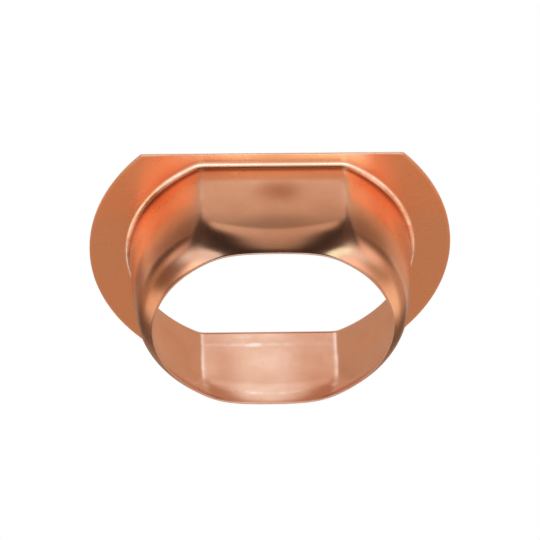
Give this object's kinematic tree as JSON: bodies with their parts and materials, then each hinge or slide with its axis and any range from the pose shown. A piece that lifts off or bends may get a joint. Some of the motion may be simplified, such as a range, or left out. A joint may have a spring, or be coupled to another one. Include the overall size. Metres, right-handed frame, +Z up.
{
  "type": "gutter outlet",
  "caption": "Copper gutter outlet: a flat flange with bulging ends over a tapering body with two flat sides that turns in to a round rim for a downpipe.",
  "frame": {"origin": "centre of the free rim, at its lower edge", "axes": "+Z up as installed, from the rim to the flange; X along the flange's longer side, through its bulging ends; Y across the two flat sides"},
  "size_m": [0.1504, 0.114, 0.0451],
  "materials": {
    "copper": "bright copper sheet, polished but slightly soft"
  },
  "bodies": {
    "root": {"outlet": "copper"}
  },
  "joints": []
}
